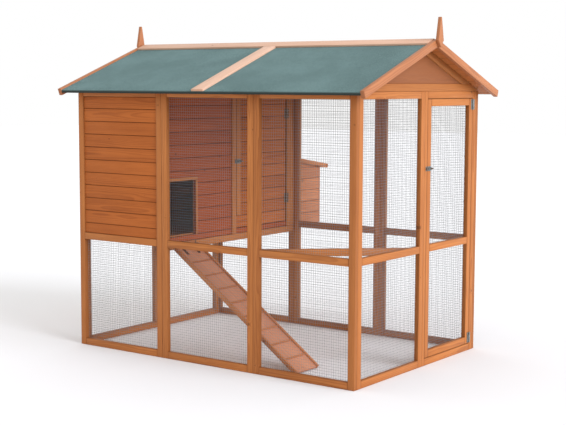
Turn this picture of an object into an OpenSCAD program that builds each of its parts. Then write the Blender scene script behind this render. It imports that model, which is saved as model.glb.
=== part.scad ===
// Chicken coop with a raised hen house in the left bay and a wire run round and under it.
// X runs along the front, Y from front to back, Z up. The feet of the panels stand on Z = 0 and
// the origin is the middle of the plan outline, nest box and eaves included.

/* [Frame] */
// Length of the timber frame along the front
coop_length = 1950; // [1800:10:2100]
// Depth of the timber frame from front to back
coop_depth = 1310; // [1240:10:1400]
// Height of the wall panels
wall_height = 1523; // [1480:1:1600]
// Width of the face of every stile and rail
timber_w = 40; // [38:1:42]
// Thickness of the wall panels
timber_t = 25; // [22:1:28]
// Height of the upper edge of the middle rails
mid_rail_top = 678; // [660:1:700]

/* [Roof] */
// Pitch of the roof in degrees
roof_pitch = 20.6; // [18:0.2:24]
// Overhang of the eaves past the front and back panels
eaves_out = 78; // [60:1:100]
// Overhang of the roof boards past the end panels
verge_out = 67; // [50:1:90]
// Thickness of the roof boards
roof_board = 14; // [10:1:16]
// Height of the tips of the finials above the ground
finial_tip = 1918; // [1900:1:1960]

/* [Hen house] */
// Width of one cladding board, edge to edge
board_pitch = 75; // [70:1:80]
// Thickness of the cladding boards
board_t = 12; // [10:1:14]
// Width of the pop hole that the hens use
pop_hole_w = 236; // [200:1:250]
// Height of the pop hole
pop_hole_h = 320; // [280:1:330]
// How far the nest box stands out behind the back panel
nest_depth = 300; // [260:10:330]
// Slope of the nest box lid in degrees
lid_slope = 9; // [7:0.5:11]

/* [Ramp] */
// Slope of the ramp in degrees
ramp_slope = 35.5; // [34:0.5:38]
// Width of the ramp
ramp_w = 215; // [200:5:240]
// Number of cleats across the ramp
ramp_cleats_n = 8; // [6:1:9]

/* [Wire and fittings] */
// Thickness of the wire sheets
mesh_t = 1; // [0.8:0.1:1.4]
// Radius of the hinge pins
pin_r = 2.5; // [2.2:0.1:2.6]
// Radius of the sliding bolts
bolt_r = 3; // [2.6:0.1:3.2]

/* [Hidden] */

// Colours of the stained pine, the cladding, the felt and the zinc
pine = [0.72, 0.44, 0.25];
clad = [0.66, 0.37, 0.20];
felt_green = [0.30, 0.43, 0.40];
zinc = [0.70, 0.71, 0.72];

// Hairline joint between timbers and between boards, and the gap round the moving pieces
fit = 0.2;
gap = 1.5;

// Plan
half_l = coop_length / 2;
bay = coop_length / 3;
lid_out = 68;
nest_reach = nest_depth + lid_out;
y_front = eaves_out - (eaves_out + coop_depth + nest_reach) / 2;
back_in = coop_depth - timber_t;
divider_out = -bay / 2;
divider_in = divider_out - timber_t;

// Heights of the rails
mid_rail_low = mid_rail_top - timber_w;
top_rail_low = wall_height - timber_w;
mesh_lap = 12;

// Roof: the underside of the boards passes just over the outer top edge of the front panel
ridge_y = coop_depth / 2;
roof_rise = tan(roof_pitch);
roof_low = wall_height + 6;
felt_t = 2;
roof_half = half_l + verge_out;
barge_w = 40;
barge_t = 24;
ridge_board_w = 66;
cover_t = 12;
batten_w = 84;

// House floor and the boards of the divider, whose joints lie a board apart from the first one
floor_under = mid_rail_low + 12;
bearer_low = mid_rail_low + 2;
bearer_h = 22;
floor_t = 6;
divider_first = 33;
pop_low = floor_under + divider_first;
pop_y = timber_t + timber_w + 1;
board_set_back = 6;
divider_mid = 642;
divider_mid_end = divider_mid + timber_w;
hinge_stile = back_in - 2 * timber_w + 2;

// Run door in the rear half of the right end
run_post = 650;
jamb_w = 28;
door_front = run_post + timber_w + jamb_w + 2;
door_back = back_in - timber_w - 5;
door_low = timber_w + 3;
door_high = top_rail_low - 2.5;
run_bolt_z = 1100;

// House door in the rear half of the divider
hdoor_front = divider_mid_end + 3.5;
hdoor_back = hinge_stile - 9.5;
hdoor_low = pop_low + gap;
hdoor_high = top_rail_low - gap;
house_bolt_z = 1091;

// Ramp, which hangs from a bar on the sill of the divider; its parts lie at heights from the
// plane that passes through the bar
bar_x = divider_out + 13;
bar_z = floor_under - 20;
bar_r = 4;
ramp_y = 98;
ramp_start = 8;
side_t = 14;
side_top = 2;
side_low = -22;
deck_top = -8;
deck_t = 8;
ramp_len = (bar_z - 1 + side_low * cos(ramp_slope)) / sin(ramp_slope);

// Nest box on the back of the hen house
nest_l = -half_l + 18;
nest_r = divider_out - 20;
nest_low = mid_rail_low + 2;
nest_back = coop_depth + nest_depth;
lid_t = 12;
rim_h = 28;
header_low = 1075;
knuckle_r = 4;
lid_axis_y = coop_depth + knuckle_r + 0.5;
lid_axis_z = 1090;

module block(lo, hi) translate(lo) cube(hi - lo);

module at_front() translate([0, y_front, 0]) children();

// A solid between two planes across X, with its outline given as [y, z] points
module along_x(x0, x1, outline)
    translate([x0, 0, 0]) rotate([90, 0, 90]) linear_extrude(x1 - x0) polygon(outline);

// A solid between two planes across Y, with its outline given as [x, z] points
module along_y(y0, y1, outline)
    translate([0, y1, 0]) rotate([90, 0, 0]) linear_extrude(y1 - y0) polygon(outline);

// --- Wall panels of butt-jointed stiles and rails ---

// One panel across the front or back: two stiles and its rails at the heights in lows
module long_panel(x0, x1, y0, lows) {
    for (x = [x0 + fit, x1 - fit - timber_w])
        block([x, y0, 0], [x + timber_w, y0 + timber_t, wall_height]);
    for (z = lows)
        block([x0 + timber_w + 2 * fit, y0, z],
              [x1 - timber_w - 2 * fit, y0 + timber_t, z + timber_w]);
}

// One panel across an end: stiles at the given y, and rails between the first and last of them
module end_panel(x0, stiles, lows) {
    last = len(stiles) - 1;
    for (y = stiles)
        block([x0, y, 0], [x0 + timber_t, y + timber_w, wall_height - fit]);
    for (i = [1 : last], z = lows)
        block([x0, stiles[i - 1] + timber_w + fit, z],
              [x0 + timber_t, stiles[i] - fit, z + timber_w - fit]);
}

panel_rails = [0, mid_rail_low, top_rail_low];

module front_left_frame() color(pine) at_front() long_panel(-half_l, divider_out, 0, panel_rails);
module front_middle_frame() color(pine) at_front() long_panel(divider_out, -divider_out, 0, panel_rails);
module front_right_frame() color(pine) at_front() long_panel(-divider_out, half_l, 0, panel_rails);

module back_left_frame() color(pine) at_front()
    long_panel(-half_l, divider_out, back_in, concat(panel_rails, [header_low]));
module back_middle_frame() color(pine) at_front()
    long_panel(divider_out, -divider_out, back_in, panel_rails);
module back_right_frame() color(pine) at_front()
    long_panel(-divider_out, half_l, back_in, panel_rails);

// The rail under a gable, cut to the slope of the roof at both ends, and the two rafters above it
module gable_frame(x0) {
    z1 = wall_height + timber_w;
    z2 = z1 + fit;
    inset = (z1 - roof_low) / roof_rise + 2;
    crown = roof_z(ridge_y, 0) - 1;
    deep = timber_w / cos(roof_pitch);
    along_x(x0, x0 + timber_t, [
        [fit, wall_height + 0.3], [coop_depth - fit, wall_height + 0.3],
        [coop_depth - inset, z1], [inset, z1]
    ]);
    both_slopes() along_x(x0, x0 + timber_t, [
        [(z2 + 1 - roof_low) / roof_rise, z2], [gable_foot(z2), z2],
        [ridge_y - fit / 2, crown - deep], [ridge_y - fit / 2, crown]
    ]);
}

// Where the inner edge of a gable rafter meets the height z
function gable_foot(z) = (z + 1 + timber_w / cos(roof_pitch) - roof_low) / roof_rise;

// Left end: three stiles below the house, boards above between the outer two
module left_end_frame() color(pine) at_front() {
    y0 = timber_t + fit;
    y1 = back_in - timber_w - fit;
    for (y = [y0, y1])
        block([-half_l, y, 0], [-half_l + timber_t, y + timber_w, wall_height - fit]);
    for (z = panel_rails)
        block([-half_l, y0 + timber_w + fit, z], [-half_l + timber_t, y1 - fit, z + timber_w - fit]);
    block([-half_l, ridge_y - timber_w / 2, timber_w],
          [-half_l + timber_t, ridge_y + timber_w / 2, mid_rail_low - fit]);
    gable_frame(-half_l);
}

// Right end: a fixed wire panel in the front half
module right_end_frame() color(pine) at_front() {
    end_panel(half_l - timber_t, [timber_t + fit, run_post], panel_rails);
    gable_frame(half_l - timber_t);
}

stop_t = 10;
stop_fix = 14;
stop_lap = 8;

// Jambs, head and threshold round the run door, and four strips inside them that it shuts against
module door_surround() color(pine) at_front() {
    x0 = half_l - timber_t;
    y0 = run_post + timber_w + fit;
    y1 = back_in - timber_w - 2;
    block([x0, y0, 0], [half_l, y0 + jamb_w, wall_height - fit]);
    block([x0, y1, 0], [half_l, back_in - fit, wall_height - fit]);
    for (z = [0, top_rail_low])
        block([x0, y0 + jamb_w + fit, z], [half_l, y1 - fit, z + timber_w - fit]);
    stop_x = x0 - 0.4;
    side_0 = door_front + stop_lap;
    side_1 = door_back - stop_lap;
    low = timber_w - stop_fix;
    high = top_rail_low + stop_fix;
    block([stop_x - stop_t, door_front - stop_fix, low], [stop_x, side_0, high]);
    block([stop_x - stop_t, side_1, low], [stop_x, door_back + stop_fix, high]);
    block([stop_x - stop_t, side_0 + fit, low], [stop_x, side_1 - fit, door_low + stop_lap]);
    block([stop_x - stop_t, side_0 + fit, door_high - stop_lap], [stop_x, side_1 - fit, high]);
}

// --- Welded wire sheets, stapled to the inner faces of the panels ---

// The part of a sheet across the front or back that covers one bay from z0 to z1
module long_sheet(x0, x1, y0, z1)
    block([x0 + timber_w - mesh_lap, y0, timber_w - mesh_lap],
          [x1 - timber_w + mesh_lap, y0 + mesh_t, z1]);

sheet_high = top_rail_low + mesh_lap;
sheet_mid = mid_rail_low + mesh_lap - 1;

module front_mesh() color(zinc) at_front() {
    y0 = timber_t + 0.1;
    long_sheet(-half_l, divider_out, y0, sheet_mid);
    long_sheet(divider_out, -divider_out, y0, sheet_high);
    long_sheet(-divider_out, half_l, y0, sheet_high);
}

module back_mesh() color(zinc) at_front() {
    y0 = back_in - mesh_t - 0.1;
    long_sheet(-half_l, divider_out, y0, sheet_mid);
    long_sheet(divider_out, -divider_out, y0, sheet_high);
    long_sheet(-divider_out, half_l, y0, sheet_high);
}

module left_end_mesh() color(zinc) at_front() {
    x0 = -half_l + timber_t + 0.1;
    lap = timber_t + timber_w - mesh_lap;
    block([x0, lap, timber_w - mesh_lap], [x0 + mesh_t, coop_depth - lap, sheet_mid]);
}

module right_end_mesh() color(zinc) at_front() {
    x1 = half_l - timber_t - 0.1;
    block([x1 - mesh_t, timber_t + timber_w - mesh_lap, timber_w - mesh_lap],
          [x1, run_post + mesh_lap, sheet_high]);
}

// --- Cladding of the hen house ---

// Heights of the joints between boards; a strip too narrow to nail is left on the last board
least_board = 20;

function board_lines(z0, z1, first) =
    concat([z0], [for (z = z0 + first; z < z1 - least_board; z = z + board_pitch) z], [z1]);

bevel = 2.5;

// Boards running along X, stacked from z0 to z1, with bevelled edges on the outer side;
// side is -1 where the outer face looks towards the front and 1 where it looks back
module boards_x(x0, x1, y_out, side, z0, z1, first) {
    lines = board_lines(z0, z1, first);
    y_in = y_out - side * board_t;
    for (i = [1 : len(lines) - 1]) {
        a = lines[i - 1] + fit / 2;
        b = lines[i] - fit / 2;
        along_x(x0, x1, [
            [y_in, a], [y_out - side * bevel, a], [y_out, a + bevel],
            [y_out, b - bevel], [y_out - side * bevel, b], [y_in, b]
        ]);
    }
}

// The same boards running along Y
module boards_y(y0, y1, x_out, side, z0, z1, first) {
    lines = board_lines(z0, z1, first);
    x_in = x_out - side * board_t;
    for (i = [1 : len(lines) - 1]) {
        a = lines[i - 1] + fit / 2;
        b = lines[i] - fit / 2;
        along_y(y0, y1, [
            [x_in, a], [x_out - side * bevel, a], [x_out, a + bevel],
            [x_out, b - bevel], [x_out - side * bevel, b], [x_in, b]
        ]);
    }
}

front_first = 60;

module house_front_boards() color(clad) at_front()
    boards_x(-half_l + timber_w + 2 * fit, divider_out - timber_w - 2 * fit, board_set_back, -1,
             mid_rail_top + fit, top_rail_low - fit, front_first);

module house_left_boards() color(clad) at_front()
    boards_y(timber_t + timber_w + 2 * fit, back_in - timber_w - 2 * fit,
             -half_l + board_set_back, -1, mid_rail_top + fit, top_rail_low - fit, front_first);

module house_back_boards() color(clad) at_front()
    boards_x(-half_l + timber_w + 2 * fit, divider_out - timber_w - 2 * fit,
             coop_depth - board_set_back, 1, header_low + timber_w + fit, top_rail_low - fit, front_first);

// Divider between the house and the run: a frame of its own under the roof, with a bead on the
// middle stile that the house door shuts against
module divider_frame() color(pine) at_front() {
    y0 = timber_t + 1.5;
    y1 = back_in - 1.5;
    z0 = floor_under - timber_w;
    for (y = [[y0, y0 + timber_w - 1.5], [divider_mid, divider_mid_end],
              [hinge_stile, hinge_stile + timber_w - 2.4], [y1 - timber_w + 1.5, y1]])
        block([divider_in, y[0], floor_under + fit], [divider_out, y[1], top_rail_low - fit]);
    for (z = [z0, top_rail_low])
        block([divider_in, y0, z], [divider_out, y1, z + timber_w]);
    block([divider_in, divider_mid_end + fit, hdoor_low], [divider_in + 6, hdoor_front + 5, hdoor_high]);
}

module divider_boards() color(clad) at_front() {
    x_out = divider_out - board_set_back;
    y0 = timber_t + timber_w + fit;
    difference() {
        boards_y(y0, divider_mid - fit, x_out, 1, floor_under + fit, top_rail_low - fit, divider_first);
        block([x_out - 50, y0 - 1, pop_low - fit / 2],
              [x_out + 50, pop_y + pop_hole_w, pop_low + pop_hole_h]);
    }
    boards_y(divider_mid_end + fit, hinge_stile - fit, x_out, 1,
             floor_under + fit, pop_low - fit, board_pitch);
}

// Lintel and jamb of the pop hole, nailed over the boards
module pop_hole_trim() color(pine) at_front() {
    x0 = divider_out - board_set_back + 0.1;
    y1 = pop_y + pop_hole_w;
    z1 = pop_low + pop_hole_h;
    block([x0, pop_y, z1], [divider_out, y1 + 16, z1 + 18]);
    block([x0, y1, pop_low], [divider_out, y1 + 16, z1 - fit]);
}

pop_door_x = divider_out - board_set_back - board_t - 1.5;
pop_door_t = 8;

// Sliding panel of the pop hole, parked beside it, with a turned wooden knob
module pop_door() color(clad) at_front() {
    y0 = pop_y + pop_hole_w + 4;
    union() {
        block([pop_door_x - pop_door_t, y0, pop_low - 3],
              [pop_door_x, y0 + pop_hole_w, pop_low + pop_hole_h + 7]);
        translate([pop_door_x - pop_door_t + 0.5, y0 + 30, pop_low + pop_hole_h / 2]) rotate([0, -90, 0])
            rotate_extrude($fn = 40)
                polygon([[0, 0], [7, 0], [5, 8], [6, 12], [11, 16], [11, 21], [7, 25], [0, 25]]);
    }
}

// Grooved runners above and below the sliding panel
module pop_door_runners() color(pine) at_front() {
    x_wall = divider_out - board_set_back - board_t - 0.1;
    x_lip = pop_door_x - pop_door_t - 0.7;
    lip_t = 4;
    y0 = pop_y;
    y1 = divider_mid - 2;
    low = pop_low - 3.5;
    high = pop_low + pop_hole_h + 7.5;
    along_y(y0, y1, [
        [x_wall, low - 11], [x_wall, low], [x_lip, low], [x_lip, low + 10],
        [x_lip - lip_t, low + 10], [x_lip - lip_t, low - 11]
    ]);
    along_y(y0, y1, [
        [x_wall, high + 11], [x_wall, high], [x_lip, high], [x_lip, high - 10],
        [x_lip - lip_t, high - 10], [x_lip - lip_t, high + 11]
    ]);
}

// --- Inside the hen house ---

// How far the floor stays off the inner faces of the wall panels
floor_play = 3;

module house_floor() color(clad) at_front()
    block([-half_l + timber_t + floor_play, timber_t + floor_play, bearer_low + bearer_h + fit],
          [divider_in - fit, back_in - floor_play, bearer_low + bearer_h + floor_t]);

module floor_bearers() color(pine) at_front()
    for (x = [-half_l + timber_t + floor_play, (divider_in - half_l) / 2, divider_in - timber_t - fit])
        block([x, timber_t + floor_play, bearer_low],
              [x + timber_t, back_in - floor_play, bearer_low + bearer_h]);

perch_z = 880;

// Roosting bar with eased edges, laid across the house
module house_perch() color(pine) at_front() {
    y = ridge_y;
    e = 5;
    along_x(-half_l + board_set_back + board_t + 1, divider_in - 0.5, [
        [y - 17 + e, perch_z], [y + 17 - e, perch_z], [y + 17, perch_z + e], [y + 17, perch_z + 34 - e],
        [y + 17 - e, perch_z + 34], [y - 17 + e, perch_z + 34], [y - 17, perch_z + 34 - e], [y - 17, perch_z + e]
    ]);
}

module perch_rests() color(pine) at_front()
    for (x = [-half_l + board_set_back + board_t + 0.2, divider_in - 20.2])
        block([x, ridge_y - 24, perch_z - 30], [x + 20, ridge_y + 24, perch_z - fit]);

// --- Door between the house and the run ---

module house_door_boards() color(clad) at_front()
    boards_y(hdoor_front, hdoor_back, divider_out - board_set_back, 1, hdoor_low, hdoor_high, board_pitch - gap);

// Two ledges inside and the closing strip outside
module house_door_battens() color(pine) at_front() {
    x_in = divider_out - board_set_back - board_t - 0.1;
    for (z = [hdoor_low + 80, hdoor_high - 140])
        block([x_in - board_t, hdoor_front + 6, z], [x_in, hdoor_back - 30, z + 60]);
    block([divider_out - board_set_back + 0.1, hdoor_front, pop_low + board_pitch],
          [divider_out, hdoor_front + timber_w, hdoor_high]);
}

// --- Hinges: a knuckle with its pin on the fixed leaf, and a bored knuckle on the moving one ---

leaf_t = 1.6;
hinge_h = 60;
leaf_w = 20;

// Fixed leaf from the pin towards +Y, lying on the plane x = -drop below the pin
module hinge_plate(drop) {
    end = hinge_h / 2;
    third = hinge_h / 6;
    union() {
        cylinder(r = pin_r, h = hinge_h - 2, center = true, $fn = 40);
        for (s = [-1, 1]) translate([0, 0, s * (end + third) / 2])
            cylinder(r = knuckle_r, h = end - third, center = true, $fn = 40);
        for (s = [-1, 1]) translate([-drop, 0, s > 0 ? third : -end])
            cube([leaf_t, leaf_w, end - third]);
        translate([-drop, knuckle_r + 0.6, -end]) cube([leaf_t, leaf_w - knuckle_r - 0.6, hinge_h]);
    }
}

// Moving leaf from the pin towards -Y, with its knuckle between those of the fixed leaf
module hinge_leaf(drop) {
    end = hinge_h / 2;
    third = hinge_h / 6 - 0.3;
    difference() {
        union() {
            cylinder(r = knuckle_r, h = 2 * third, center = true, $fn = 40);
            translate([-drop, -leaf_w, -third]) cube([leaf_t, leaf_w, 2 * third]);
            translate([-drop, -leaf_w, -end]) cube([leaf_t, leaf_w - knuckle_r - 0.6, hinge_h]);
        }
        cylinder(r = pin_r + 0.06, h = hinge_h, center = true, $fn = 40);
    }
}

module at_run_hinges() at_front()
    for (z = [door_low + 34, door_high - 34])
        translate([half_l + knuckle_r, (door_back + back_in - timber_w - 2) / 2, z]) children();

module run_hinge_plates() color(zinc) at_run_hinges() hinge_plate(knuckle_r);
module run_hinge_leaves() color(zinc) at_run_hinges() hinge_leaf(knuckle_r);

module at_house_hinges() at_front()
    for (z = [hdoor_low + 150, hdoor_high - 110])
        translate([divider_out - 2, (hdoor_back + hinge_stile) / 2, z]) children();

module house_hinge_plates() color(zinc) at_house_hinges() hinge_plate(-2);
module house_hinge_leaves() color(zinc) at_house_hinges() hinge_leaf(knuckle_r);

// --- Barrel bolts, drawn from the free edge of a door at y = 0 on its outer face at x = 0 ---

bolt_x = 6;

module bolt_body() difference() {
    union() {
        translate([0, 2, -13]) cube([1.5, 36, 26]);
        for (y = [4, 31]) translate([0, y, -6]) cube([bolt_x + 4.5, 6, 12]);
    }
    translate([bolt_x, 0, 0]) rotate([-90, 0, 0]) cylinder(r = bolt_r + 0.08, h = 50, $fn = 40);
}

// The rod is drawn back, clear of the keeper
module bolt_rod() union() {
    translate([bolt_x, 0.5, 0]) rotate([-90, 0, 0]) cylinder(r = bolt_r, h = 52, $fn = 40);
    translate([bolt_x, 28, 0]) rotate([0, 90, 0]) cylinder(r = 2.4, h = 14, $fn = 32);
    translate([bolt_x + 12, 28, 0]) rotate([0, 90, 0]) cylinder(r = 4, h = 4, $fn = 32);
}

// Two keepers, one on the jamb of each door
module bolt_keeper() difference() {
    union() {
        translate([0, -18, -13]) cube([1.5, 12, 26]);
        translate([0, -16, -6.5]) cube([bolt_x + 5, 8, 13]);
    }
    translate([bolt_x, -30, 0]) rotate([-90, 0, 0]) cylinder(r = bolt_r + 0.5, h = 40, $fn = 40);
}

module at_run_bolt() at_front() translate([half_l, door_front, run_bolt_z]) children();
module run_bolt_body() color(zinc) at_run_bolt() bolt_body();
module run_bolt() color(zinc) at_run_bolt() bolt_rod();

module at_house_bolt() at_front() translate([divider_out, hdoor_front, house_bolt_z]) children();
module house_bolt_body() color(zinc) at_house_bolt() bolt_body();
module house_bolt() color(zinc) at_house_bolt() bolt_rod();
module bolt_keepers() color(zinc) {
    at_run_bolt() bolt_keeper();
    at_house_bolt() bolt_keeper();
}

// --- Run door ---

module run_door_frame() color(pine) at_front() {
    x0 = half_l - timber_t;
    for (y = [door_front, door_back - timber_w])
        block([x0, y, door_low], [half_l, y + timber_w, door_high]);
    for (z = [door_low, mid_rail_low, door_high - timber_w])
        block([x0, door_front + timber_w + fit, z], [half_l, door_back - timber_w - fit, z + timber_w]);
}

module run_door_mesh() color(zinc) at_front() {
    x1 = half_l - timber_t - 0.1;
    lap = timber_w - mesh_lap;
    block([x1 - mesh_t, door_front + lap, door_low + lap], [x1, door_back - lap, door_high - lap]);
}

// --- Ramp, in its own plane: s runs down the slope from the bar and n stands up from it ---

module on_ramp() at_front() translate([bar_x, ramp_y, bar_z]) rotate([0, ramp_slope, 0]) children();

module ramp_deck() color(clad) on_ramp()
    block([ramp_start, side_t + fit, deck_top - deck_t], [ramp_len, ramp_w - side_t - fit, deck_top]);

// Two sides that stand a little above the deck
module ramp_stringers() color(pine) on_ramp()
    for (y = [0, ramp_w - side_t])
        block([ramp_start, y, side_low], [ramp_len, y + side_t, side_top]);

cleat_pitch = 116;
cleat_w = 10;

// Cleats between the sides, counted up from the foot of the ramp
module ramp_cleats() color(pine) on_ramp()
    for (i = [1 : ramp_cleats_n])
        block([ramp_len + 8 - i * cleat_pitch, side_t + fit, deck_top + 0.1],
              [ramp_len + 8 + cleat_w - i * cleat_pitch, ramp_w - side_t - fit, deck_top + 6]);

hook_t = 1.9;

// Two steel straps on the deck, each rolled into an eye round the bar
module ramp_hooks() color(zinc) on_ramp()
    for (y = [50, ramp_w - 66]) translate([0, y, 0]) difference() {
        union() {
            rotate([-90, 0, 0]) cylinder(r = bar_r + hook_t, h = 16, $fn = 48);
            translate([0, 0, deck_top + 0.1]) cube([70, 16, hook_t + 1]);
        }
        translate([0, -1, 0]) rotate([-90, 0, 0]) cylinder(r = bar_r + 0.08, h = 18, $fn = 48);
    }

// Steel bar on three lugs, screwed to the sill of the divider
module ramp_bar() color(zinc) at_front() translate([divider_out, ramp_y, 0]) {
    union() {
        translate([bar_x - divider_out, 8, bar_z]) rotate([-90, 0, 0])
            cylinder(r = bar_r, h = ramp_w - 16, $fn = 48);
        for (y = [12, ramp_w / 2 - 5, ramp_w - 22]) {
            translate([0, y, bar_z - 14]) cube([2, 10, 33]);
            translate([0, y, bar_z - 4]) cube([bar_x - divider_out, 10, 8]);
        }
    }
}

// --- Nest box behind the house ---

// Height at y of a plane just under the lid board
function lid_z(y) = lid_axis_z - (knuckle_r + lid_t + 1) / cos(lid_slope) - (y - lid_axis_y) * tan(lid_slope);

// Two sides cut to the slope of the lid, and the back
module nest_walls() color(clad) at_front() {
    y0 = coop_depth + fit;
    intersection() {
        union() {
            boards_y(y0, nest_back - board_t - fit, nest_l, -1, nest_low, header_low, board_pitch);
            boards_y(y0, nest_back - board_t - fit, nest_r, 1, nest_low, header_low, board_pitch);
        }
        along_x(nest_l - 20, nest_r + 20, [
            [y0 - 10, nest_low - 10], [nest_back + 10, nest_low - 10],
            [nest_back + 10, lid_z(nest_back + 10) - 1], [y0 - 10, lid_z(y0 - 10) - 1]
        ]);
    }
    boards_x(nest_l, nest_r, nest_back, 1, nest_low, lid_z(nest_back) - 1, board_pitch);
}

module nest_floor() color(clad) at_front()
    block([nest_l + board_t + fit, coop_depth + fit, nest_low + 12],
          [nest_r - board_t - fit, nest_back - board_t - fit, nest_low + 24]);

// Board between the two nests, lower at the house side
module nest_partition() color(clad) at_front() {
    x = (nest_l + nest_r) / 2 - board_t / 2;
    y1 = nest_back - board_t - fit;
    along_x(x, x + board_t, [
        [coop_depth + fit, nest_low + 24 + fit], [y1, nest_low + 24 + fit],
        [y1, lid_z(y1) - 25], [coop_depth + 140, lid_z(coop_depth + 140) - 25], [coop_depth + fit, 840]
    ]);
}

rim_t = 18;
lid_l = nest_l - 2;
lid_r = nest_r + 2;
lid_start = 3;
lid_end = (nest_back + lid_out - lid_axis_y + knuckle_r * sin(lid_slope)) / cos(lid_slope);
board_end = lid_end - rim_t - fit;

// The lid in its own plane: Y runs down its slope from the hinge line, Z stands up from it
module on_lid() at_front() translate([0, lid_axis_y, lid_axis_z]) rotate([-lid_slope, 0, 0]) children();

module nest_lid() color(clad) on_lid()
    block([lid_l, lid_start, -knuckle_r - lid_t], [lid_r, board_end, -knuckle_r - felt_t - 0.1]);

module nest_lid_felt() color(felt_green) on_lid()
    block([lid_l, lid_start, -knuckle_r - felt_t], [lid_r, board_end, -knuckle_r]);

// Edge boards round three sides of the lid
module nest_lid_rim() color(pine) on_lid() {
    rim_low = -knuckle_r - rim_h + 1.5;
    for (x = [lid_l - rim_t - fit, lid_r + fit])
        block([x, lid_start, rim_low], [x + rim_t, board_end, -knuckle_r]);
    block([lid_l - rim_t - fit, lid_end - rim_t, rim_low], [lid_r + rim_t + fit, lid_end, -knuckle_r]);
}

// Hinges of the lid: the fixed leaves stand up the wall, the moving ones lie on the felt
module at_nest_hinges() at_front()
    for (x = [nest_l + 110, nest_r - 110]) translate([x, lid_axis_y, lid_axis_z]) children();

module nest_hinge_plates() color(zinc) at_nest_hinges() rotate([90, 0, 90]) hinge_plate(knuckle_r + 0.4);
module nest_hinge_leaves() color(zinc) at_nest_hinges()
    rotate([-lid_slope, 0, 0]) rotate(180, [1, 0, 1]) hinge_leaf(knuckle_r);

// --- Roof ---

// Height of the underside of the roof boards at y, and of a plane a thickness above it
function roof_z(y, above) = roof_low + min(y, coop_depth - y) * roof_rise + above / cos(roof_pitch);

// A point of the front slope, n above the roof's underside and square to it at y
function roof_point(y, n) = [y - n * sin(roof_pitch), roof_z(y, 0) + n * cos(roof_pitch)];

// A layer of the front slope between two thicknesses above the roof's underside, with both ends
// cut square to the slope
module slope_strip(x0, x1, y0, y1, low, high)
    along_x(x0, x1, [
        roof_point(y0, low), roof_point(y1, low), roof_point(y1, high), roof_point(y0, high)
    ]);

// The same with a plumb cut at its upper end, for what meets at the ridge
module slope_layer(x0, x1, y0, y1, low, high)
    along_x(x0, x1, [
        roof_point(y0, low), [y1, roof_z(y1, low)], [y1, roof_z(y1, high)], roof_point(y0, high)
    ]);

// The same on both slopes, mirrored about the ridge
module both_slopes()
    for (m = [0, 1]) translate([0, m * coop_depth, 0]) mirror([0, m, 0]) children();

// The panels stop a little short of the ends of the bargeboards
eave_back = 6;
roof_end = ridge_y - 0.5;
felt_top = roof_board + felt_t;
eave_end = felt_top * sin(roof_pitch) - eaves_out + eave_back;
board_foot = eave_end + (felt_t + 0.1) * cos(roof_pitch);
ridge_foot = ridge_y - ridge_board_w * cos(roof_pitch);
cover_top = felt_top + cover_t;

// The roof comes as four panels, two on each slope
module roof_panels() both_slopes() for (x0 = [-roof_half, 1]) translate([x0, 0, 0]) children();

module roof_boards() color(pine) at_front() roof_panels()
    slope_layer(0, roof_half - 1, board_foot, roof_end, 0, roof_board);

// Felt on each roof panel, turned down over its lower edge
module roof_felt() color(felt_green) at_front() roof_panels() {
    slope_layer(0, roof_half - 1, board_foot, roof_end, roof_board + 0.1, felt_top);
    slope_strip(0, roof_half - 1, eave_end, eave_end + felt_t * cos(roof_pitch), 0, felt_top);
}

module roof_battens() color(pine) at_front() both_slopes()
    slope_strip(-batten_w / 2, batten_w / 2, cover_top * sin(roof_pitch) - eaves_out + fit,
                ridge_foot - 1, felt_top + 0.1, cover_top);

module ridge_boards() color(pine) at_front() both_slopes()
    slope_layer(-roof_half, roof_half, ridge_foot, roof_end, felt_top + 0.1, cover_top);

// Beam under the ridge, with its top cut to both slopes
module ridge_beam() color(pine) at_front() {
    half = timber_t / 2;
    crown = roof_z(ridge_y, 0) - 1;
    side = crown - half * roof_rise;
    along_x(-half_l + timber_t + 2, half_l - timber_t - 2, [
        [ridge_y - half, side - timber_w], [ridge_y + half, side - timber_w],
        [ridge_y + half, side], [ridge_y, crown], [ridge_y - half, side]
    ]);
}

barge_top = felt_top + 9;

module bargeboards() color(pine) at_front() both_slopes() for (s = [-1, 1])
    slope_layer(s < 0 ? -roof_half - barge_t - fit : roof_half + fit,
                s < 0 ? -roof_half - fit : roof_half + barge_t + fit,
                barge_top * sin(roof_pitch) - eaves_out, roof_end, barge_top - barge_w, barge_top);

// Plain board in the triangle of each gable
module gable_boards() color(clad) at_front() for (s = [-1, 1]) {
    z0 = wall_height + timber_w + fit;
    y0 = gable_foot(z0) + 0.6;
    x0 = s < 0 ? -half_l + board_set_back : half_l - board_set_back - board_t;
    along_x(x0, x0 + board_t, [
        [y0, z0], [coop_depth - y0, z0], [ridge_y, z0 + (ridge_y - y0) * roof_rise]
    ]);
}

// Flat spikes on the peaks of the bargeboards, pointed at both ends
module finials() color(pine) at_front() for (s = [-1, 1]) {
    x0 = s < 0 ? -roof_half - barge_t - 20 : roof_half + barge_t + 2 * fit;
    peak = roof_z(ridge_y, barge_top);
    along_x(x0, x0 + 20 - 2 * fit, [
        [ridge_y, peak - 46], [ridge_y + 28, peak - 8], [ridge_y + 4, finial_tip],
        [ridge_y - 4, finial_tip], [ridge_y - 28, peak - 8]
    ]);
}

// Perch across the front corner of the run, between two middle rails
perch_from = [-divider_out + 7, timber_t];
perch_to = [half_l - timber_t, 575];

module run_perch() color(pine) at_front() {
    run = perch_to - perch_from;
    angle = atan2(run[1], run[0]);
    intersection() {
        translate([perch_from[0], perch_from[1], mid_rail_low - 2]) rotate([0, 0, angle])
            translate([-60, -timber_t / 2, 0]) cube([norm(run) + 120, timber_t, timber_w]);
        block([0, timber_t + 0.3, 0],
              [half_l - timber_t - mesh_t - 0.4, coop_depth, wall_height]);
    }
}

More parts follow.
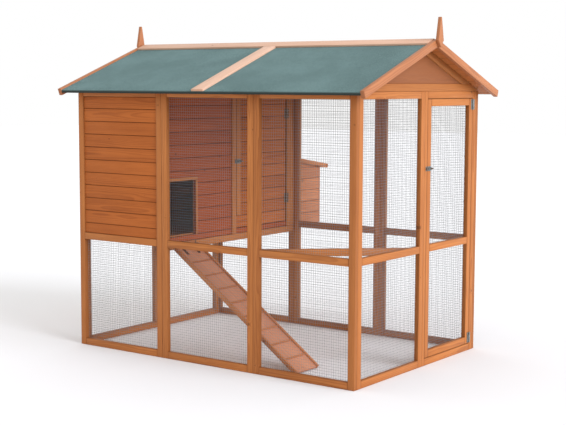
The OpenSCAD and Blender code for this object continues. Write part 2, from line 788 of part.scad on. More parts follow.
front_left_frame();
front_middle_frame();
front_right_frame();
back_left_frame();
back_middle_frame();
back_right_frame();
left_end_frame();
right_end_frame();
door_surround();
front_mesh();
back_mesh();
left_end_mesh();
right_end_mesh();
house_front_boards();
house_left_boards();
house_back_boards();
divider_frame();
divider_boards();
pop_hole_trim();
pop_door();
pop_door_runners();
house_floor();
floor_bearers();
house_perch();
perch_rests();
house_door_boards();
house_door_battens();
house_hinge_plates();
house_hinge_leaves();
house_bolt_body();
house_bolt();
bolt_keepers();
run_door_frame();
run_door_mesh();
run_hinge_plates();
run_hinge_leaves();
run_bolt_body();
run_bolt();
ramp_deck();
ramp_stringers();
ramp_cleats();
ramp_hooks();
ramp_bar();
nest_walls();
nest_floor();
nest_partition();
nest_lid();
nest_lid_felt();
nest_lid_rim();
nest_hinge_plates();
nest_hinge_leaves();
roof_boards();
roof_felt();
roof_battens();
ridge_boards();
ridge_beam();
bargeboards();
gable_boards();
finials();
run_perch();
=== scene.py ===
import math
import random

import bmesh
import bpy
from mathutils import Matrix, Vector, noise


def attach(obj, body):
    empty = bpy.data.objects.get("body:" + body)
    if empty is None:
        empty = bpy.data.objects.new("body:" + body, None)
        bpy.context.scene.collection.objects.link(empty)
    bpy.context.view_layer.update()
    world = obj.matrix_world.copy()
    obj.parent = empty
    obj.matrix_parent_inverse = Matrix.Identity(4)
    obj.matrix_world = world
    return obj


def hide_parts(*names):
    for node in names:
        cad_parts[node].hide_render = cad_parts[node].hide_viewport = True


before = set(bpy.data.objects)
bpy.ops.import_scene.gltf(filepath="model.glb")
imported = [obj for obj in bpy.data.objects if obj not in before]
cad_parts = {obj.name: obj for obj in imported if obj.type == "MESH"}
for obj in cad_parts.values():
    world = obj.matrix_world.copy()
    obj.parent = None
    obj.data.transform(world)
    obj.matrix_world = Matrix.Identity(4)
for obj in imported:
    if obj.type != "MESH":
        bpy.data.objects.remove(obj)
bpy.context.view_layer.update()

# --- Wall panels ---
# Planed pine stiles and rails, dipped in an orange-brown stain and butted together into flat
# panels. They carry everything else. Each stick is its own piece of timber, with its arrises
# eased and its own run of grain, knots and stain.


class Tone:
    """A socket in a finish, so that shader sums are written as sums."""

    def __init__(self, finish, socket):
        self.finish, self.socket = finish, socket

    def sum(self, operation, *values):
        return self.finish.node("Math", {"operation": operation}, dict(enumerate(values)))

    def __add__(self, other): return self.sum("ADD", self, other)
    def __radd__(self, other): return self.sum("ADD", other, self)
    def __sub__(self, other): return self.sum("SUBTRACT", self, other)
    def __rsub__(self, other): return self.sum("SUBTRACT", other, self)
    def __mul__(self, other): return self.sum("MULTIPLY", self, other)
    def __rmul__(self, other): return self.sum("MULTIPLY", other, self)
    def __truediv__(self, other): return self.sum("DIVIDE", self, other)
    def __rtruediv__(self, other): return self.sum("DIVIDE", other, self)
    def __pow__(self, other): return self.sum("POWER", self, other)
    def __rpow__(self, other): return self.sum("POWER", other, self)
    def __abs__(self): return self.sum("ABSOLUTE", self)
    def most(self, other): return self.sum("MAXIMUM", self, other)
    def fraction(self): return self.sum("FRACT", self)

    def part(self, index):
        """One coordinate of a vector."""
        made = self.finish.node("SeparateXYZ", {}, {0: self})
        return Tone(self.finish, made.socket.node.outputs[index])

    def ramp(self, low, high, smooth=True):
        """0 at low and 1 at high, eased at both ends; low may be the larger."""
        kind = "SMOOTHSTEP" if smooth else "LINEAR"
        return self.finish.node("MapRange", {"interpolation_type": kind},
                                {"Value": self, "From Min": low, "From Max": high})


class Finish:
    """A material made of nodes, with a method for each kind of node that isn't a sum."""

    def __init__(self, name):
        self.material = bpy.data.materials.new(name)
        self.material.use_nodes = True
        self.tree = self.material.node_tree
        self.shader = self.tree.nodes["Principled BSDF"]

    def node(self, kind, settings, inputs, out=0):
        made = self.tree.nodes.new("ShaderNode" + kind)
        for key, value in settings.items():
            setattr(made, key, value)
        for key, value in inputs.items():
            if isinstance(value, Tone):
                self.tree.links.new(value.socket, made.inputs[key])
            else:
                made.inputs[key].default_value = value
        return Tone(self, made.outputs[out])

    def vector(self, x, y, z):
        return self.node("CombineXYZ", {}, {0: x, 1: y, 2: z})

    def noise(self, where, scale, detail=2.0, rough=0.5):
        return self.node("TexNoise", {},
                         {"Vector": where, "Scale": scale, "Detail": detail, "Roughness": rough})

    def cells(self, where, scale, out="Distance", **settings):
        return self.node("TexVoronoi", settings, {"Vector": where, "Scale": scale}, out)

    def blend(self, amount, a, b):
        """A colour between colours a and b."""
        mix = self.node("Mix", {"data_type": "RGBA"}, {"Factor": amount}).socket.node
        for index, end in ((6, a), (7, b)):
            if isinstance(end, Tone):
                self.tree.links.new(end.socket, mix.inputs[index])
            else:
                mix.inputs[index].default_value = (*end, 1.0)
        return Tone(self, mix.outputs[2])

    def attribute(self, name):
        return self.node("Attribute", {"attribute_name": name}, {}, "Vector")

    def set(self, relief=None, relief_depth=0.001, **values):
        """Gives the shader its values, and its Normal from a relief."""
        if relief is not None:
            values["Normal"] = self.node(
                "Bump", {}, {"Strength": 1.0, "Distance": relief_depth, "Height": relief}, "Normal")
        for key, value in values.items():
            socket = self.shader.inputs[key.replace("_", " ")]
            if isinstance(value, Tone):
                self.tree.links.new(value.socket, socket)
            elif isinstance(value, tuple):
                socket.default_value = (*value, 1.0)
            else:
                socket.default_value = value
        return self.material


def colour(red, green, blue):
    """A colour as the shader wants it, from the 0 to 255 levels of a colour card."""
    levels = (red, green, blue)
    return tuple((c / 255 / 12.92) if c < 10 else ((c / 255 + 0.055) / 1.055) ** 2.4 for c in levels)


LOT_SHIFT = (41.0, 17.0, 9.0)           # how far apart in the tree two lots are cut, in metres
HEART_ASIDE, HEART_DEPTH, HEART_COVER = 0.11, 0.07, 0.012
KNOT_CELLS, BIG_KNOT, PIN_KNOT = 4.6, 0.0105, 0.0006
RING, RING_WAVE, KNOT_SWIRL = 0.0052, 0.034, 0.006
NAIL_FROM_END, NAIL_RIM, NAIL_FLAT = 0.013, 0.0016, 0.0009


def stained_pine(name, pale, dark, knot, knots=1.0, gloss=0.2, seam=0.0, pins=0.0, joints=0.0,
                 contrast=1.0):
    """Pine under a thin stain. Each stick has its own lengthwise coordinates in the attribute
    "grain" and its half length, half width and lot number in "board". A seam paints shade along the
    long edges, as in the gap between two boards, pins are nail heads near the ends, and joints is the
    pitch of boards drawn on a panel, each joint a line of painted shade."""
    f = Finish(name)
    grain, board = f.attribute("grain"), f.attribute("board")
    along, across, deep = (grain.part(i) for i in range(3))
    half_length, half_width, lot = (board.part(i) for i in range(3))
    u = along + lot * LOT_SHIFT[0]
    v = across + lot * LOT_SHIFT[1]
    w = deep + lot * LOT_SHIFT[2]
    heart_v = ((lot * 7.31).fraction() - 0.5) * HEART_ASIDE
    heart_w = (lot * 3.77).fraction() * HEART_DEPTH + HEART_COVER
    bend = f.noise(f.vector(u * 1.3, v * 4.0, w * 4.0), 1.0, 3.0)
    # knots: one in each cell of the face, most of them too small to show
    spots = f.cells(f.vector(u, v, 0.0), KNOT_CELLS, "Distance", voronoi_dimensions="2D")
    spot_colour = Tone(f, spots.socket.node.outputs["Color"])
    luck = f.node("SeparateColor", {}, {0: spot_colour})
    ripple = f.noise(f.vector(u, v, w), 160.0, 1.0)
    away = spots / KNOT_CELLS + (ripple - 0.5) * 0.003
    size = (luck ** 3.0) * (BIG_KNOT * knots) + PIN_KNOT
    is_knot = (away / size).ramp(1.0, 0.75)
    knot_rim = (away / size).ramp(1.35, 1.05) - (away / size).ramp(0.95, 0.7)
    swirl = (away / size).ramp(4.0, 0.8)
    # growth rings round the heart of the log
    side_v = across - heart_v
    side_w = deep + heart_w
    from_heart = (side_v * side_v + side_w * side_w) ** 0.5
    radius = from_heart + (bend - 0.5) * RING_WAVE + swirl * KNOT_SWIRL
    ring = (radius / RING).fraction()
    late = ring.ramp(0.35, 0.9) - ring.ramp(0.93, 1.0)
    fibre = f.noise(f.vector(u * 9.0, v * 260.0, w * 260.0), 1.0, 3.0, 0.6)
    streak = f.noise(f.vector(u * 1.6, v * 34.0, w * 34.0), 1.0, 2.0)
    blotch = f.noise(f.vector(u * 3.0, v * 7.0, w * 7.0), 1.0, 3.0, 0.6)
    shade = (late * 0.42 + (fibre - 0.5) * 0.5 + (streak - 0.5) * 0.75 + (blotch - 0.5) * 0.55
             + lot * 0.34 + 0.02)
    body_colour = f.blend(((shade - 0.34) * contrast + 0.34).ramp(0.0, 1.0, False), pale, dark)
    with_rims = f.blend(knot_rim.most(0.0) * 0.45, body_colour, knot)
    with_knots = f.blend(is_knot * 0.55, with_rims, knot)
    # thirsty end grain takes more stain; the long edges and joints get painted shade, as in the gaps
    # between boards, and nail heads are dark
    from_end = half_length - abs(along)
    from_edge = half_width - abs(across)
    end_grain = from_end.ramp(0.0035, 0.0012)
    shadow = tuple(c * 0.2 for c in dark)
    darker = f.blend(end_grain * 0.5 + from_end.ramp(0.03, 0.0) * 0.12, with_knots, dark)
    groove = from_edge.ramp(0.0036, 0.0012) * seam
    if joints:
        groove = groove.most(abs(((across / joints).fraction() - 0.5)).ramp(0.475, 0.49))
    if pins:
        nail = ((from_end - NAIL_FROM_END) ** 2.0 + (from_edge - half_width * 0.4) ** 2.0) ** 0.5
        groove = groove.most(nail.ramp(NAIL_RIM, NAIL_FLAT) * pins)
    final = f.blend(groove, darker, shadow)
    height = late * -0.35 + fibre * 0.5 + is_knot * 0.5 + blotch * 0.3 - groove * 2.0
    rough = 0.56 + (fibre - 0.5) * 0.18 + late * -0.05 + end_grain * 0.2
    return f.set(Base_Color=final, Roughness=rough, Specular_IOR_Level=gloss,
                 relief=height, relief_depth=0.0004)


frame_pine = stained_pine("frame_pine", colour(184, 115, 60), colour(142, 80, 37), colour(84, 46, 26),
                          knots=0.8, seam=0.22)
EASE, ROD_EASE, TRIM_EASE, BOARD_EASE = 0.0018, 0.001, 0.0008, 0.0005


def islands(node):
    """The separate solids of a CAD node as flat-faced meshes: [(points, faces)]."""
    bm = bmesh.new()
    bm.from_mesh(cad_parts[node].data)
    bmesh.ops.remove_doubles(bm, verts=bm.verts, dist=0.00002)
    bmesh.ops.dissolve_limit(bm, angle_limit=0.01, verts=bm.verts, edges=bm.edges)
    left, solids = set(bm.verts), []
    while left:
        reached, queue = set(), [min(left, key=lambda p: p.index)]
        while queue:
            point = queue.pop()
            if point in reached:
                continue
            reached.add(point)
            queue += [edge.other_vert(point) for edge in point.link_edges]
        left -= reached
        order = {p: i for i, p in enumerate(sorted(reached, key=lambda p: p.index))}
        faces = sorted({face for p in reached for face in p.link_faces}, key=lambda face: face.index)
        solids.append(([p.co.copy() for p in order], [[order[p] for p in face.verts] for face in faces]))
    bm.free()
    return solids


def stick_axes(points, faces):
    """Length, width and thickness directions of a stick, from its longest edges."""
    edges = {(min(a, b), max(a, b)) for face in faces for a, b in zip(face, face[1:] + face[:1])}
    runs = sorted(((points[b] - points[a]) for a, b in sorted(edges)), key=lambda e: -e.length)
    long = runs[0].normalized()
    wide = next((e - long * e.dot(long) for e in runs if abs(e.normalized().dot(long)) < 0.3),
                long.orthogonal())
    wide.normalize()
    return long, wide, long.cross(wide)


def new_piece(name, bm, material, body, replaces=(), sharp=30):
    """Turns bmesh work into a piece that rides on a body."""
    mesh = bpy.data.meshes.new(name)
    bm.to_mesh(mesh)
    bm.free()
    mesh.materials.append(material)
    mesh.polygons.foreach_set("use_smooth", [True] * len(mesh.polygons))
    mesh.set_sharp_from_angle(angle=math.radians(sharp))
    piece = bpy.data.objects.new(name, mesh)
    bpy.context.scene.collection.objects.link(piece)
    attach(piece, body)
    if replaces:
        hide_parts(*replaces)
    return piece


def add_stick(bm, points, faces, lot, ease):
    """One piece of timber with eased arrises and its own grain, added to a piece."""
    layers = bm.verts.layers.float_vector
    grain = layers.get("grain") or layers.new("grain")
    board = layers.get("board") or layers.new("board")
    axes = stick_axes(points, faces)
    spans = [(min(p.dot(a) for p in points), max(p.dot(a) for p in points)) for a in axes]
    old = set(bm.verts)
    made = [bm.verts.new(p) for p in points]
    for face in faces:
        bm.faces.new([made[i] for i in face])
    bm.edges.index_update()
    edges = sorted({edge for p in made for edge in p.link_edges}, key=lambda edge: edge.index)
    if ease:
        bmesh.ops.bevel(bm, geom=edges, offset=ease, segments=2, profile=0.5, affect="EDGES",
                        clamp_overlap=True)
    for p in bm.verts:
        if p in old:
            continue
        p[grain] = [p.co.dot(a) - (low + high) / 2 for a, (low, high) in zip(axes, spans)]
        p[board] = ((spans[0][1] - spans[0][0]) / 2, (spans[1][1] - spans[1][0]) / 2, lot)


def timber(name, node, body, material, ease=EASE):
    """A piece made of the sticks of one CAD node."""
    lots = random.Random(name)
    bm = bmesh.new()
    for points, faces in islands(node):
        add_stick(bm, points, faces, lots.random(), ease)
    return new_piece(name, bm, material, body, (node,))


for node in ("front_left_frame", "front_middle_frame", "front_right_frame",
             "back_left_frame", "back_middle_frame", "back_right_frame",
             "left_end_frame", "right_end_frame", "door_surround"):
    timber(node + "_sticks", node, "coop", frame_pine)

# --- Cladding ---
# Tongued pine boards, nailed side by side into the panels round the house, stained a little
# darker than the frames. Their V joints show as thin dark lines of painted shade.

board_pine = stained_pine("board_pine", colour(180, 101, 47), colour(142, 74, 32), colour(78, 40, 22),
                          knots=1.15, gloss=0.12, seam=0.5, pins=0.7)
for node in ("house_front_boards", "house_left_boards", "house_back_boards"):
    timber(node + "_boards", node, "coop", board_pine, BOARD_EASE)

# --- Divider, pop hole and its sliding panel ---
# A boarded wall between house and run. A thin lintel and jamb trim the pop hole, and a panel
# with a turned knob slides in grooved runners on the house side.

timber("divider_sticks", "divider_frame", "coop", frame_pine)
# Painted shade: the divider's boards are a darker, redder copy of the cladding stain, for the wall that
# stands in the shade of the house and roof.
shade_darkened_board_pine = stained_pine("shade_darkened_board_pine", colour(166, 82, 39), colour(130, 58, 26),
                              colour(78, 38, 20), knots=1.1, gloss=0.12, seam=0.5, pins=0.7)
timber("divider_cladding", "divider_boards", "coop", shade_darkened_board_pine, BOARD_EASE)
timber("pop_hole_lintel", "pop_hole_trim", "coop", frame_pine, TRIM_EASE)
timber("pop_hole_runners", "pop_door_runners", "coop", frame_pine, 0)
plain_pine = stained_pine("plain_pine", colour(186, 118, 70), colour(154, 92, 52), colour(84, 46, 26),
                          knots=0.6)
timber("pop_hole_slide", "pop_door", "pop_door", plain_pine, 0)

# --- Inside the house ---
# A sheet of ply lying on three pine bearers, and a roosting bar of pine with its edges taken off
# that rests on two plain blocks.

timber("floor_sheet", "house_floor", "coop", plain_pine)
timber("floor_joists", "floor_bearers", "coop", frame_pine)
timber("roost", "house_perch", "coop", frame_pine, ROD_EASE)
timber("roost_rests", "perch_rests", "coop", frame_pine)

# --- House door ---
# Tongued pine boards nailed across two ledges, with a closing strip down the free edge. It hangs
# on two hinges on the divider's stile.

timber("house_door_cladding", "house_door_boards", "house_door", board_pine, BOARD_EASE)
timber("house_door_ledges", "house_door_battens", "house_door", frame_pine)

# --- Run door ---
# A light door of stained pine, two stiles and three rails butted together. It hangs on two hinges
# in the right end and shuts against strips inside its surround.

timber("run_door_sticks", "run_door_frame", "run_door", frame_pine)

# --- Ramp ---
# A board between two sides that stand a little above it, with cleats nailed across. It is cut
# from paler stock than the frames and takes less stain.

pale_pine = stained_pine("pale_pine", colour(204, 142, 108), colour(168, 108, 78), colour(100, 58, 38),
                         knots=0.6)
timber("ramp_board", "ramp_deck", "ramp", pale_pine)
timber("ramp_edges", "ramp_stringers", "ramp", plain_pine)
timber("ramp_treads", "ramp_cleats", "ramp", plain_pine, ROD_EASE)

# --- Nest box ---
# Tongued pine boards nailed up as two sides and a back, with a floor and a partition. The lid is
# one board with edge strips on three sides, hinged to the house wall.

nest_pine = stained_pine("nest_pine", colour(190, 122, 80), colour(154, 92, 58), colour(90, 50, 30),
                         gloss=0.12, seam=0.45, pins=0.6)
timber("nest_cladding", "nest_walls", "coop", nest_pine, BOARD_EASE)
timber("nest_base", "nest_floor", "coop", plain_pine)
timber("nest_divider", "nest_partition", "coop", plain_pine)
timber("nest_lid_board", "nest_lid", "nest_lid", plain_pine)
timber("nest_lid_edges", "nest_lid_rim", "nest_lid", plain_pine)

# --- Roof timbers ---
# Four panels of tongued boards, with boards along the ridge and down the middle joint that are the
# same pine painted pale as a painted reflection of the sky, verge boards and spikes at the gables, and a
# purlin and a roost inside.

# Painted reflection: the ridge boards and cover strips are painted pale for the bright sky they catch at
# a grazing angle.
painted_sheen_pine = stained_pine("painted_sheen_pine", colour(216, 176, 150), colour(184, 140, 112), colour(120, 76, 52),
                        gloss=0.5)
lining_pine = stained_pine("lining_pine", colour(186, 112, 58), colour(148, 82, 38), colour(84, 46, 26),
                           joints=0.09)
gable_pine = stained_pine("gable_pine", colour(146, 90, 54), colour(122, 72, 42), colour(84, 46, 26),
                          knots=0.7, contrast=0.6)
timber("roof_panels", "roof_boards", "coop", lining_pine)
timber("roof_cover_strips", "roof_battens", "coop", painted_sheen_pine)
timber("ridge_capping", "ridge_boards", "coop", painted_sheen_pine)
timber("ridge_purlin", "ridge_beam", "coop", frame_pine)
verge_pine = stained_pine("verge_pine", colour(182, 118, 76), colour(146, 88, 54), colour(84, 46, 26),
                          gloss=0.35)
timber("verge_boards", "bargeboards", "coop", verge_pine)
timber("gable_infill", "gable_boards", "coop", gable_pine)
timber("finial_spikes", "finials", "coop", verge_pine)
timber("run_roost", "run_perch", "coop", frame_pine)

# --- Welded wire ---
# Small square welded mesh of dull galvanised wire, stapled to the inner faces of the panels. The
# upright wires lie on the timber and the level ones are welded to them.

PITCH, WIRE = 0.0145, 0.00062           # spacing, and half the thickness
WIRE_WANDER = 0.0003
STAPLE_HALF, STAPLE_LEG, STAPLE_EVERY, STAPLE_INSET = 0.0045, 0.008, 9, 0.006
f = Finish("galvanised_wire")
spangle = f.noise(f.node("TexCoord", {}, {}, "Object"), 260.0, 2.0)
wire_zinc = f.set(Base_Color=f.blend(spangle, (0.21, 0.215, 0.22), (0.32, 0.325, 0.33)),
                  Roughness=0.5 + (spangle - 0.5) * 0.2, Metallic=0.55)


def add_wire(bm, start, end, side, lift, lots, steps):
    """One straight wire with four sides, set a hair out of true between its welds."""
    run = end - start
    rings = []
    for i in range(steps + 1):
        wander = 0.0 if i in (0, steps) else WIRE_WANDER
        centre = start + run * (i / steps) + side * lots.uniform(-wander, wander)
        rings.append([bm.verts.new(centre + side * (WIRE * a) + lift * (WIRE * b))
                      for a, b in ((1, 0), (0, 1), (-1, 0), (0, -1))])
    for low, high in zip(rings, rings[1:]):
        for i in range(4):
            bm.faces.new([low[i], low[(i + 1) % 4], high[(i + 1) % 4], high[i]])
    bm.faces.new(rings[0][::-1])
    bm.faces.new(rings[-1])


def add_staple(bm, crown, along, outward, lots):
    """A staple over one wire, with its legs driven into the timber."""
    across = along.cross(outward)
    ends = [crown + along * reach for reach in (-STAPLE_HALF, STAPLE_HALF)]
    add_wire(bm, ends[0], ends[1], across, outward, lots, 1)
    for end in ends:
        add_wire(bm, end, end + outward * STAPLE_LEG, across, along, lots, 1)


def wire_sheets(name, node, body, outward):
    """Welded wire over each flat sheet of a CAD node; outward is the way its timber lies."""
    lots = random.Random(name)
    bm = bmesh.new()
    up = Vector((0, 0, 1))
    side = Vector((1, 0, 0)) if abs(outward.y) > 0.5 else Vector((0, 1, 0))
    for points, _ in islands(node):
        low = Vector([min(p[i] for p in points) for i in range(3)])
        high = Vector([max(p[i] for p in points) for i in range(3)])
        face = max(low.dot(outward), high.dot(outward)) - WIRE
        s0, s1 = low.dot(side) + WIRE, high.dot(side) - WIRE
        z0, z1 = low.z + WIRE, high.z - WIRE
        for i in range(int((s1 - s0) / PITCH) + 1):
            at = side * (s0 + i * PITCH) + outward * face
            add_wire(bm, at + up * z0, at + up * z1, side, outward, lots, 6)
        for i in range(int((z1 - z0) / PITCH) + 1):
            at = up * (z0 + i * PITCH) + outward * (face - 1.4 * WIRE)
            add_wire(bm, at + side * s0, at + side * s1, up, outward, lots, 3)
        crown = outward * (face - 3.6 * WIRE)
        for i in range(2, int((z1 - z0) / PITCH), STAPLE_EVERY):
            for s in (s0 + STAPLE_INSET, s1 - STAPLE_INSET):
                add_staple(bm, crown + side * s + up * (z0 + i * PITCH), up, outward, lots)
        for i in range(3, int((s1 - s0) / PITCH), STAPLE_EVERY):
            for z in (z0 + STAPLE_INSET, z1 - STAPLE_INSET):
                add_staple(bm, crown + side * (s0 + i * PITCH) + up * z, side, outward, lots)
    bmesh.ops.recalc_face_normals(bm, faces=bm.faces)
    return new_piece(name, bm, wire_zinc, body, (node,), 80)


wire_sheets("front_wire", "front_mesh", "coop", Vector((0, -1, 0)))
wire_sheets("back_wire", "back_mesh", "coop", Vector((0, 1, 0)))
wire_sheets("left_end_wire", "left_end_mesh", "coop", Vector((-1, 0, 0)))
wire_sheets("right_end_wire", "right_end_mesh", "coop", Vector((1, 0, 0)))
wire_sheets("run_door_wire", "run_door_mesh", "run_door", Vector((1, 0, 0)))

# --- Hinges and bolts ---
# Pressed steel with a dull zinc plating. The hinges of the house door and the hooks and bar of
# the ramp are a dark brown copy of the zinc, painted shade for where they hang behind the mesh.


def pressed_steel(name, dull, bright):
    """Plated steel, clouded between two colours and very slightly pitted."""
    f = Finish(name)
    where = f.node("TexCoord", {}, {}, "Object")
    cloud = f.noise(where, 90.0, 4.0)
    speck = f.noise(where, 700.0, 2.0)
    return f.set(Base_Color=f.blend(cloud.ramp(0.3, 0.7), dull, bright),
                 Roughness=0.46 + (cloud - 0.5) * 0.25, Metallic=0.8, relief=speck, relief_depth=0.0001)


def coat(material, *nodes):
    """Gives CAD nodes that stay in view a finish."""
    for node in nodes:
        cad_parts[node].data.materials.clear()
        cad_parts[node].data.materials.append(material)


fitting_zinc = pressed_steel("dull_zinc", colour(112, 112, 108), colour(146, 147, 144))
# Painted shade: a dark brown copy of the zinc for the fittings that hang in shade behind the mesh.
shade_darkened_zinc = pressed_steel("shade_darkened_zinc", (0.14, 0.075, 0.045), (0.20, 0.11, 0.065))
coat(shade_darkened_zinc, "house_hinge_plates", "house_hinge_leaves", "ramp_hooks", "ramp_bar")
coat(fitting_zinc, "house_bolt_body", "house_bolt", "bolt_keepers", "run_hinge_plates",
     "run_hinge_leaves", "run_bolt_body", "run_bolt", "nest_hinge_plates", "nest_hinge_leaves")

# --- Screws of the hinges and bolts ---
# Small domed steel screws with a recess in the head, driven through the leaves and plates into
# the timber.


HEAD_SIDES = 14
HEAD_PROFILE = ((0.0029, -0.0002), (0.0028, 0.0004), (0.0021, 0.0010), (0.0012, 0.0012),
                (0.0008, 0.0005))       # radius and height, from the rim to the foot of the recess


def screw_heads(name, body, places, out=(1, 0, 0)):
    """Screws with their heads standing on the given points of a fitting."""
    bm = bmesh.new()
    turn = Vector(out).to_track_quat("Z", "Y").to_matrix()
    round_head = [a * math.tau / HEAD_SIDES for a in range(HEAD_SIDES)]
    for place in places:
        rings = [[bm.verts.new(Vector(place) + turn @ Vector((r * math.cos(a), r * math.sin(a), h)))
                  for a in round_head] for r, h in HEAD_PROFILE]
        for low, high in zip(rings, rings[1:]):
            for i in range(HEAD_SIDES):
                j = (i + 1) % HEAD_SIDES
                bm.faces.new([low[i], low[j], high[j], high[i]])
        bm.faces.new(rings[-1])
        bm.faces.new(rings[0][::-1])
    new_piece(name, bm, fitting_zinc, body, (), 40)


LEAF_SCREW, LEAF_MIDDLE = 0.021, 0.014  # from the middle of a leaf, and from the pin
PLATE_SIDE, PLATE_RISE, KEEPER_RISE = 0.0085, 0.0095, 0.0098


def leaf_screws(x, y, heights):
    """Two screws in a leaf at each height, one above and one below its middle."""
    return [(x, y, z + LEAF_SCREW * s) for z in heights for s in (-1, 1)]


def plate_screws(x, y, z):
    """Four screws in the corners of a bolt's plate."""
    return [(x, y + PLATE_SIDE * a, z + PLATE_RISE * b) for a in (-1, 1) for b in (-1, 1)]


def keeper_screws(x, y, z):
    """One screw above a keeper's loop and one below."""
    return [(x, y, z + KEEPER_RISE * s) for s in (-1, 1)]


RUN_HINGES, RUN_PIN_Y, RUN_BOLT_Z = (0.077, 1.4465), 0.4415, 1.1
RUN_LEAF_X, RUN_PLATE_X = 0.9766, 0.9765
screw_heads("run_hinge_jamb_screws", "coop",
            leaf_screws(RUN_LEAF_X, RUN_PIN_Y + LEAF_MIDDLE, RUN_HINGES))
screw_heads("run_hinge_door_screws", "run_door",
            leaf_screws(RUN_LEAF_X, RUN_PIN_Y - LEAF_MIDDLE, RUN_HINGES))
screw_heads("run_bolt_screws", "run_door", plate_screws(RUN_PLATE_X, -0.0600, RUN_BOLT_Z))
screw_heads("run_keeper_screws", "coop", keeper_screws(RUN_PLATE_X, -0.0920, RUN_BOLT_Z))

HOUSE_HINGES, HOUSE_PLATE_X, HOUSE_BOLT_Z = (0.8345, 1.3715), -0.3235, 1.091
screw_heads("house_hinge_stile_screws", "coop", leaf_screws(-0.3234, 0.4163, HOUSE_HINGES))
screw_heads("house_hinge_door_screws", "house_door", leaf_screws(-0.3294, 0.3883, HOUSE_HINGES))
screw_heads("house_bolt_screws", "house_door", plate_screws(HOUSE_PLATE_X, -0.0945, HOUSE_BOLT_Z))
screw_heads("house_keeper_screws", "coop", keeper_screws(HOUSE_PLATE_X, -0.1265, HOUSE_BOLT_Z))

NEST_HINGES, LID_SLOPE, LEAF_FACE = (-0.847, -0.455), math.radians(9), 0.0024
nest_screws = [x + LEAF_SCREW * s for x in NEST_HINGES for s in (-1, 1)]
screw_heads("nest_hinge_wall_screws", "coop", [(x, 0.5117, 1.1045) for x in nest_screws], (0, 1, 0))
lid_y = 0.5145 + LEAF_MIDDLE * math.cos(LID_SLOPE) - LEAF_FACE * math.sin(LID_SLOPE)
lid_z = 1.09 - LEAF_MIDDLE * math.sin(LID_SLOPE) - LEAF_FACE * math.cos(LID_SLOPE)
screw_heads("nest_hinge_lid_screws", "nest_lid", [(x, lid_y, lid_z) for x in nest_screws],
            (0, math.sin(LID_SLOPE), math.cos(LID_SLOPE)))

# --- Felt ---
# Green mineral felt, laid on each roof panel and turned down over the eaves. The same felt covers
# the lid of the nest box.

f = Finish("green_felt")
where = f.node("TexCoord", {}, {}, "Object")
grit = f.cells(where, 620.0, "Color")
grit_level = f.node("SeparateColor", {}, {0: grit})
drift = f.noise(where, 3.0, 4.0, 0.6)
bare = f.noise(where, 38.0, 4.0, 0.7)
folded = f.attribute("fold").part(0)
felt_base = f.blend(drift.ramp(0.3, 0.7), colour(86, 112, 111), colour(101, 128, 127))
felt_pale = f.blend(grit_level.ramp(0.55, 1.0) * 0.3, felt_base, colour(150, 172, 170))
felt_dark = f.blend(grit_level.ramp(0.35, 0.0) * 0.4, felt_pale, colour(48, 62, 62))
felt_worn = f.blend(bare.ramp(0.64, 0.8) * 0.4, felt_dark, colour(150, 165, 162))
# The turned-down felt is painted near black: partly the black bitumen of its edge, partly painted shade
# under the eaves.
green_felt = f.set(Base_Color=f.blend(folded * 0.9, felt_worn, colour(40, 40, 34)),
                   Roughness=0.86 + (drift - 0.5) * 0.1, Specular_IOR_Level=0.2,
                   relief=grit_level, relief_depth=0.0008)
coat(green_felt, "nest_lid_felt")


FELT_THICK, FELT_BEND = 0.0018, 0.006
FELT_ROWS, FELT_COLUMNS, BEND_STEPS = 12, 30, 5


def felt_sheet(bm, x0, x1, ridge, eave, foot):
    """Felt from ridge to eave, outer face first, turned down over the boards as far as foot."""
    layers = bm.verts.layers.float_vector
    fold = layers.get("fold") or layers.new("fold")
    down, drop = (eave - ridge).normalized(), (foot - eave).normalized()
    line = [(ridge.lerp(eave - down * FELT_BEND, i / FELT_ROWS), -drop, 0.0)
            for i in range(FELT_ROWS + 1)]
    for i in range(1, BEND_STEPS + 1):
        turn = math.radians(90 / BEND_STEPS * i)
        out = down * math.sin(turn) - drop * math.cos(turn)
        line.append((eave + (drop - down + out) * FELT_BEND, out, i / BEND_STEPS))
    line.append((foot, down, 1.0))
    columns = []
    for k in range(FELT_COLUMNS + 1):
        x = x0 + (x1 - x0) * k / FELT_COLUMNS
        outer, inner = [], []
        for place, out, bent in line:
            lift = 0.0005 + 0.0006 * noise.noise(Vector((x * 6.0, place.y * 9.0, 3.0)))
            at = Vector((x, place.y, place.z)) + out * lift
            outer.append(bm.verts.new(at))
            inner.append(bm.verts.new(at - out * FELT_THICK))
            outer[-1][fold] = inner[-1][fold] = (bent, 0.0, 0.0)
        columns.append(outer + inner[::-1])
    for left, right in zip(columns, columns[1:]):
        for i in range(len(left)):
            j = (i + 1) % len(left)
            bm.faces.new([left[i], left[j], right[j], right[i]])
    bm.faces.new(columns[0][::-1])
    bm.faces.new(columns[-1])


def middle(points):
    return sum(points, Vector()) / len(points)


felts = sorted((points for points, _ in islands("roof_felt")), key=lambda solid: max(p.z for p in solid))
edges, tops = felts[:4], felts[4:]      # four turned-down strips lie lower than the four sheets
bm = bmesh.new()
for top in tops:
    edge = min(edges, key=lambda solid: (middle(solid) - middle(top)).length)
    outward = middle(edge).y - middle(top).y
    corners = (max(top, key=lambda p: p.z), max(edge, key=lambda p: p.y * outward),
               min(edge, key=lambda p: p.z))
    felt_sheet(bm, min(p.x for p in top), max(p.x for p in top),
               *(Vector((0, p.y, p.z)) for p in corners))
bmesh.ops.recalc_face_normals(bm, faces=bm.faces)
new_piece("roof_felt_sheets", bm, green_felt, "coop", ("roof_felt",), 50)

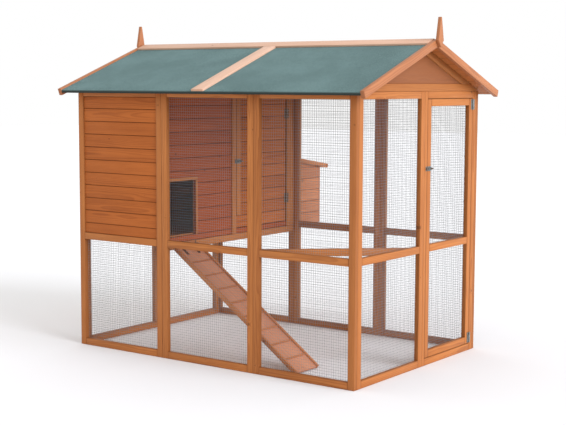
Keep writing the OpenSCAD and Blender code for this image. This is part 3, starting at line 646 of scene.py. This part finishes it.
# --- Studio ---
# A sheet of pale paper on the floor, an even white surround and one large soft lamp from the
# right. None of it is part of the coop.

floor_mesh = bpy.data.meshes.new("studio_floor")
REACH = 30                              # half the width of the floor
floor_mesh.from_pydata([(-REACH, -REACH, 0), (REACH, -REACH, 0), (REACH, REACH, 0), (-REACH, REACH, 0)],
                       [], [(0, 1, 2, 3)])
floor = bpy.data.objects.new("studio_floor", floor_mesh)
bpy.context.scene.collection.objects.link(floor)
f = Finish("floor_paper")
floor_mesh.materials.append(f.set(Base_Color=(0.84, 0.84, 0.84), Roughness=0.9, Specular_IOR_Level=0.0))
floor.location.z = -0.0005

world = bpy.data.worlds.new("studio")
bpy.context.scene.world = world
world.use_nodes = True
surround = world.node_tree.nodes["Background"]
surround.inputs["Color"].default_value = (1.0, 1.0, 1.0, 1.0)
surround.inputs["Strength"].default_value = 1.0

sun = bpy.data.lights.new("soft_sun", "SUN")
sun.energy, sun.angle, sun.color = 2.8, math.radians(40), (0.98, 1.0, 1.1)
lamp = bpy.data.objects.new("soft_sun", sun)
lamp.rotation_mode = "QUATERNION"
lamp.rotation_quaternion = Vector((-0.93, 0.05, -0.36)).to_track_quat("-Z", "Y")
bpy.context.scene.collection.objects.link(lamp)

camera = bpy.data.cameras.new("camera")
camera.lens, camera.sensor_width = 78.70, 36.0
camera.clip_start, camera.clip_end = 0.1, 100
eye = bpy.data.objects.new("camera", camera)
yaw, pitch, roll = (math.radians(a) for a in (36.05, 5.90, 0.21))
ahead = Vector((-math.sin(yaw) * math.cos(pitch), math.cos(yaw) * math.cos(pitch), -math.sin(pitch)))
right = Vector((math.cos(yaw), math.sin(yaw), 0))
up = right.cross(ahead)
right, up = right * math.cos(roll) + up * math.sin(roll), up * math.cos(roll) - right * math.sin(roll)
eye.matrix_world = Matrix((right, up, -ahead)).transposed().to_4x4()
eye.location = (4.321, -6.018, 1.556)
bpy.context.scene.collection.objects.link(eye)
bpy.context.scene.camera = eye
bpy.context.scene.view_settings.view_transform = "Standard"
